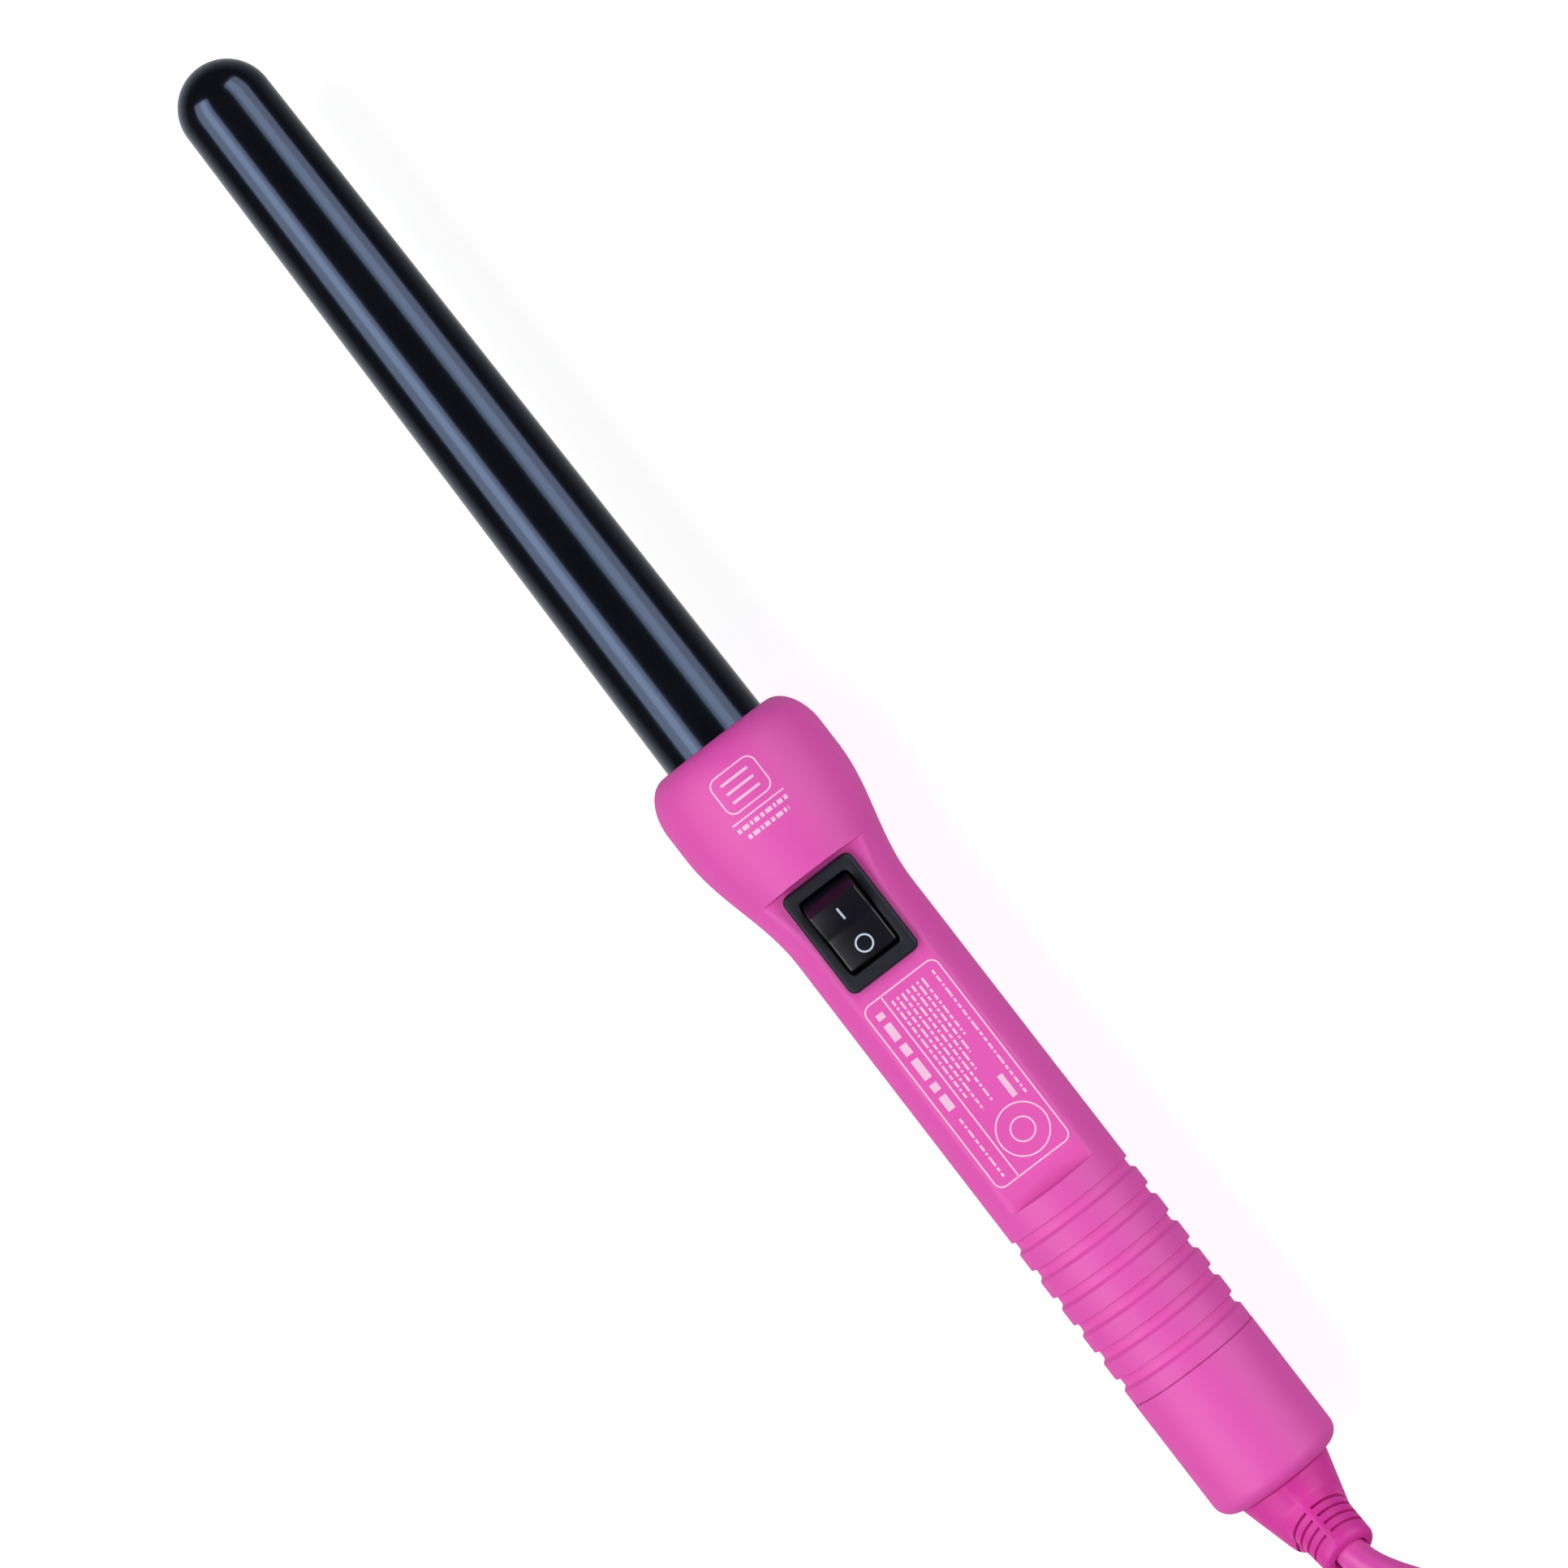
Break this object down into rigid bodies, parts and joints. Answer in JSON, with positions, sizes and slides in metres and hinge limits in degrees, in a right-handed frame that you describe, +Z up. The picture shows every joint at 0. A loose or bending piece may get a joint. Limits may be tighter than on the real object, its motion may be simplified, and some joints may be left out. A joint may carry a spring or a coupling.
{
  "type": "curling wand",
  "caption": "Clipless hair curling wand: smooth heated barrel, flared collar, ribbed round handle with a rocker switch, swivelling cord outlet and a mains lead folded into a tied hank.",
  "frame": {"origin": "centre of the wand's own box, on the surface it lies on, so z = 0 is under the collar", "axes": "+X along the barrel's axis from the tip towards the cord, +Z up out of the switch, +Y across the handle to the right when the tip points away"},
  "size_m": [0.4963, 0.0544, 0.0386],
  "materials": {
    "soft_touch_pink": "soft-touch lacquer over moulded ABS",
    "barrel_enamel": "gloss black ceramic coating on an aluminium tube",
    "switch_slate": "fine matt moulded nylon",
    "rocker_black": "satin moulded polycarbonate",
    "cord_pvc": "satin flexible PVC",
    "heat_plastic": "glass-filled heat-resistant moulding",
    "white_plastic": "moulded, natural",
    "mica": "pressed mica sheet",
    "heater_ceramic": "insulated ceramic heating element",
    "aluminium": "extruded",
    "steel": "zinc plated",
    "brass": "bright, pressed",
    "copper": "copper alloy strip",
    "wire_blue": "silicone insulation",
    "wire_brown": "silicone insulation",
    "wire_red": "silicone insulation",
    "strap_black": "woven hook-and-loop strap"
  },
  "bodies": {
    "handle": {"barrel": "barrel_enamel", "barrel_socket": "heat_plastic", "brush_holder": "white_plastic", "brush_live": "copper", "brush_neutral": "copper", "cord_hank": "cord_pvc", "cord_lead": "cord_pvc", "cord_tail": "cord_pvc", "cord_tie": "strap_black", "end_cap": "soft_touch_pink", "front_shell": "soft_touch_pink", "fuse_wire": "wire_red", "heater_block_lower": "aluminium", "heater_block_upper": "aluminium", "heater_spring": "steel", "live_wire_in": "wire_brown", "live_wire_out": "wire_red", "mica_washer": "mica", "neutral_wire": "wire_blue", "plug_body": "cord_pvc", "plug_pin_left": "brass", "plug_pin_right": "brass", "ptc_heater": "heater_ceramic", "rear_shell": "soft_touch_pink", "screw_1": "steel", "screw_2": "steel", "screw_3": "steel", "switch_frame": "switch_slate", "terminal_common": "brass", "terminal_load": "brass", "thermal_fuse": "white_plastic"},
    "rocker": {"rocker": "rocker_black", "rocker_plunger": "white_plastic", "plunger_spring": "steel"},
    "seesaw": {"contact_seesaw": "copper"},
    "swivel": {"swivel_hub": "heat_plastic", "contact_ring_live": "brass", "contact_ring_neutral": "brass", "strain_relief": "cord_pvc"}
  },
  "joints": [
    {"name": "rocker_press", "type": "hinge", "parent": "handle", "child": "rocker", "pos_m": [0.0325, 0, 0.0253], "axis": [0, -1, 0], "range_deg": [0, 28]},
    {"name": "seesaw_tilt", "type": "hinge", "parent": "handle", "child": "seesaw", "pos_m": [0.0325, 0, 0.0174], "axis": [0, 1, 0], "range_deg": [0, 12.6]},
    {"name": "cord_swivel", "type": "hinge", "parent": "handle", "child": "swivel", "pos_m": [0.1567, 0, 0.0166], "axis": [1, 0, 0], "continuous": true}
  ],
  "couplings": [
    {"joint": "seesaw_tilt", "follows": "rocker_press", "ratio": 0.45}
  ]
}
